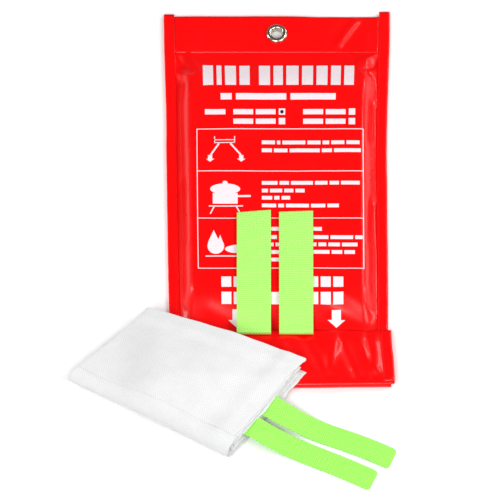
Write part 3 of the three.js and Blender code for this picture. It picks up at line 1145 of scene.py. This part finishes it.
def onBlanket(x, y, z):
    # The folded blanket is a little askew: its four corners are set, the rest lies between.
    corners = blanket["corners"]
    u = 0.5 + x / blanket["half"] / 2
    v = (y - blanket["front"]) / (blanket["back"] - blanket["front"])
    rear = corners["backLeft"].lerp(corners["backRight"], u)
    px, py = corners["frontLeft"].lerp(corners["frontRight"], u).lerp(rear, v)
    z *= 1 + reliefAt(x, y)
    return Vector((pouchX + px, pouchY + py, z * pressed(x) + liftAt(px, py))) * mm


def addPly(bm, path, seed, reach, corner=0.0):
    # One ply along a path of y and z, with uneven ends; its right end reaches out a little.
    total, at = along(path)
    half = blanket["half"]
    long = 2 * half
    large, small = blanket["ragged"]

    def rule(a, b):
        y, z = at(b)
        x = a - half
        end = abs(x) / half
        ragged = bumps(y, z, large, seed) + bumps(y, z, small, seed + 3)
        x += math.copysign(ragged * smooth((end - 0.8) / 0.2), x)
        x += (reach + corner * smooth((y - 20) / 22)) * smooth((x - half + 10) / 10)
        z -= 0.3 * corner * smooth((x - half) / 3)
        openEdge = smooth((y - blanket["back"] + 12) / 12)
        y += openEdge * (bumps(x, z, blanket["openEdge"], seed + 1) - 0.2)
        z += bumps(x, y, blanket["flutter"], seed + 2) * (0.4 + 0.6 * end)
        return onBlanket(x, y, z)

    addGrid(bm, long, total, round(long / blanket["step"]), max(4, round(total / 1.6)), rule)
    return long * total * mm * mm


def plyPaths(level, inward):
    # The two open legs and the round fold at a given distance inside the outer face.
    spine, middle = blanket["spine"], blanket["middle"]
    radius = middle - inward
    back = blanket["back"] - level * blanket["stagger"]
    lower = straight((back, middle - radius), (spine, middle - radius), 24)
    upper = straight((spine, middle + radius), (back, middle + radius), 24)
    return lower, arc((spine, middle), radius, 270, 90, 18), upper


def addBundle(name, cloth, body, nodes, plies, hinge=None):
    # One piece from its plies, each given as a path, a seed, a reach and a corner.
    bm = bmesh.new()
    area = sum(addPly(bm, *ply) for ply in plies)
    bmesh.ops.recalc_face_normals(bm, faces=bm.faces)
    made = thickened(objectFrom(name, bm, cloth), blanket["leaf"], rim=blanket["leafRim"])
    if hinge:
        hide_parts(*nodes)
        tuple(hinge[0])
        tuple(hinge[1])
        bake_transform(made)
    else:
        finished(made, body, "white_glass_cloth", *nodes)


def makeBlanket(cloth):
    reach = blanket["reach"]
    step = blanket["leaf"] + blanket["leafGap"]
    first = blanket["leaf"] / 2

    # Outer ply pair: the base and the round spine in one piece, the cover in another.
    base, cover = [], []
    for i in range(2):
        lower, fold, upper = plyPaths(0.15 * i, first + i * step)
        base.append((lower + fold[1:], 11 + i, reach[0] + 0.4 * i))
        cover.append((upper, 15 + i, 0.4 - 0.3 * i, blanket["corner"]))
    addBundle("blanketBase", cloth, rootBody, ["blanket_base_ply", "blanket_spine"], base)

    # A short line from the top of the round fold, square to the fold's own line; nothing is built
    # from it.
    start = onBlanket(0, blanket["spine"], blanket["stack"])
    line = onBlanket(1, blanket["spine"], 0) - onBlanket(-1, blanket["spine"], 0)
    start.z = max(start.z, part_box("blanket_cover_ply")[0].z)
    end = start + Vector((-line.y, line.x, 0)).normalized() * blanket["bend"] * mm
    addBundle("blanketCover", cloth, "cover", ["blanket_cover_ply"], cover, hinge=(start, end))

    for level in range(1, blanket["nested"] + 1):
        plies = []
        for i in range(2):
            inward = level * blanket["pitch"] + first + i * step
            lower, fold, upper = plyPaths(level + 0.4 * i, inward)
            plies.append((lower + fold[1:-1] + upper, 20 + 3 * level + i, reach[level] - 0.5 * i))
        addBundle(f"blanketFold{level}", cloth, rootBody, [f"blanket_fold_{level}"], plies)

    # The two flat cores in the middle.
    level = blanket["nested"] + 1
    startY = blanket["spine"] - blanket["middle"] + level * blanket["pitch"] + 2
    backY = blanket["back"] - level * blanket["stagger"]
    lowZ = level * blanket["pitch"]
    highZ = blanket["stack"] - lowZ - blanket["ply"]
    for word, z in (("lower", lowZ), ("upper", highZ)):
        plies = []
        for i in range(2):
            height = z + first + i * step
            path = straight((startY, height), (backY - i, height), 20)
            plies.append((path, 40 + i, reach[level]))
        name = f"blanketCore{word.title()}"
        addBundle(name, cloth, rootBody, [f"blanket_core_{word}"], plies)
    print("folded blanket made")


pull = {
    "width": 17.0,
    "length": 96.0,
    "gap": 2.5,
    "centre": -5.0,
    "root": 38.0,
    "drop": 46.0,
    "fall": 1.7,  # how steeply it comes down first
    "low": 0.25,  # its height over the table, before its waves
    "sway": (1.6, 30),  # sideways: size and length
    "waves": (0.9, 13),  # upwards
    "flatEnd": (90, 0.4),  # from where, and what is left of its height
    "ribs": 3.2,  # spacing of the front tape's raised ribs
    "ribHeight": 0.2,
    "ribbed": (12, 84),
    "fan": {"front": math.radians(0.4), "rear": math.radians(2.1)},
    "corner": 2.6,  # radius of the free end's corners
    "thickness": 1.0,
    "rootHeight": 10.3,
}


def makePullTapes(webbing):
    wide, thick = pull["width"], pull["thickness"]
    for i, word in enumerate(("front", "rear")):
        y0 = pull["centre"] + (i - 0.5) * (wide + pull["gap"])
        fan = pull["fan"][word]
        skew = blanket["skew"]
        start = blanket["half"] + 1.4 + y0 * skew + wide / 2 * math.tan(math.atan(skew) + fan)
        total = pull["root"] + pull["length"]

        def rule(a, b):
            across = a - wide / 2
            far = b - pull["root"]
            # round corners at the free end
            over = far - (pull["length"] - pull["corner"])
            if over > 0:
                t = min(over / pull["corner"], 1.0)
                most = wide / 2 - pull["corner"] * (1 - math.sqrt(max(1 - t * t, 0.0)))
                across = max(min(across, most), -most)
            sway, swayLength = pull["sway"]
            bend = sway * smooth(far / 100) * math.sin(far / swayLength)
            x = start + far * math.cos(fan) - (across + bend) * math.sin(fan)
            y = y0 + far * math.sin(fan) + (across + bend) * math.cos(fan)
            exitX, exitY = tableAt(start - across * math.sin(fan), y0 + across * math.cos(fan))
            px, py = tableAt(x, y)
            if far < 0:
                z = pull["rootHeight"] * pressed(x) + liftAt(px, py)
            else:
                high = pull["rootHeight"] + liftAt(exitX, exitY)
                drop = max(1 - far / pull["drop"], 0) ** pull["fall"]
                z = pull["low"] + (high - pull["low"]) * drop
                if word == "front":
                    ribStart, ribEnd = pull["ribbed"]
                    shown = smooth((far - ribStart) / 12) * smooth((ribEnd - far) / 12)
                    rib = 1 + math.sin(2 * math.pi * far / pull["ribs"])
                    z += pull["ribHeight"] * shown * rib
                wave, waveLength = pull["waves"]
                swing = 0.5 + 0.5 * math.sin(far / waveLength + 2 * i)
                z += wave * smooth((far - 30) / 20) * swing
                flatStart, left = pull["flatEnd"]
                z *= mix(1, left, smooth((far - flatStart) / 8))
            return Vector((pouchX + px, pouchY + py, z + thick / 2)) * mm

        bm = bmesh.new()
        addGrid(bm, wide, total, 16, round(total / 0.8), rule)
        bmesh.ops.remove_doubles(bm, verts=bm.verts, dist=1e-6)
        bmesh.ops.recalc_face_normals(bm, faces=bm.faces)
        made = thickened(objectFrom(f"{word}PullTape", bm, webbing), thick, rim=tape["rim"])
        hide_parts(f"pull_root_{word}", f"pull_tape_{word}")
        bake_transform(made)
    print("pull tapes made")


# All together.


def dressHidden(cloth, webbing):
    # What stays packed inside the pouch keeps its own solids.
    for name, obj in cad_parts.items():
        if name.startswith("packed_leaf"):
            obj.data.materials.clear()
            obj.data.materials.append(cloth)
        if name.startswith("packed_tape"):
            obj.data.materials.clear()
            obj.data.materials.append(webbing)


def makeAll():
    makeStudio()
    print("studio made")
    vinyl = vinylMaterial()
    nickel = nickelMaterial()
    weave = weaveGroup()
    cloth = wovenMaterial("whiteGlassCloth", weave, clothLook)
    webbing = wovenMaterial("limeWebbing", weave, webbingLook)
    loose = wovenMaterial("looseWebbing", weave, looseLook)
    makePanels(vinyl)
    makeBindings(vinyl)
    makeEyelet(nickel)
    makePouchTapes(webbing)
    white = inkMaterial("whiteInk", inkLook["white"])
    makePrint(white, inkMaterial("blackInk", inkLook["black"]))
    makeBlanket(cloth)
    makePullTapes(loose)
    dressHidden(cloth, webbing)


makeAll()
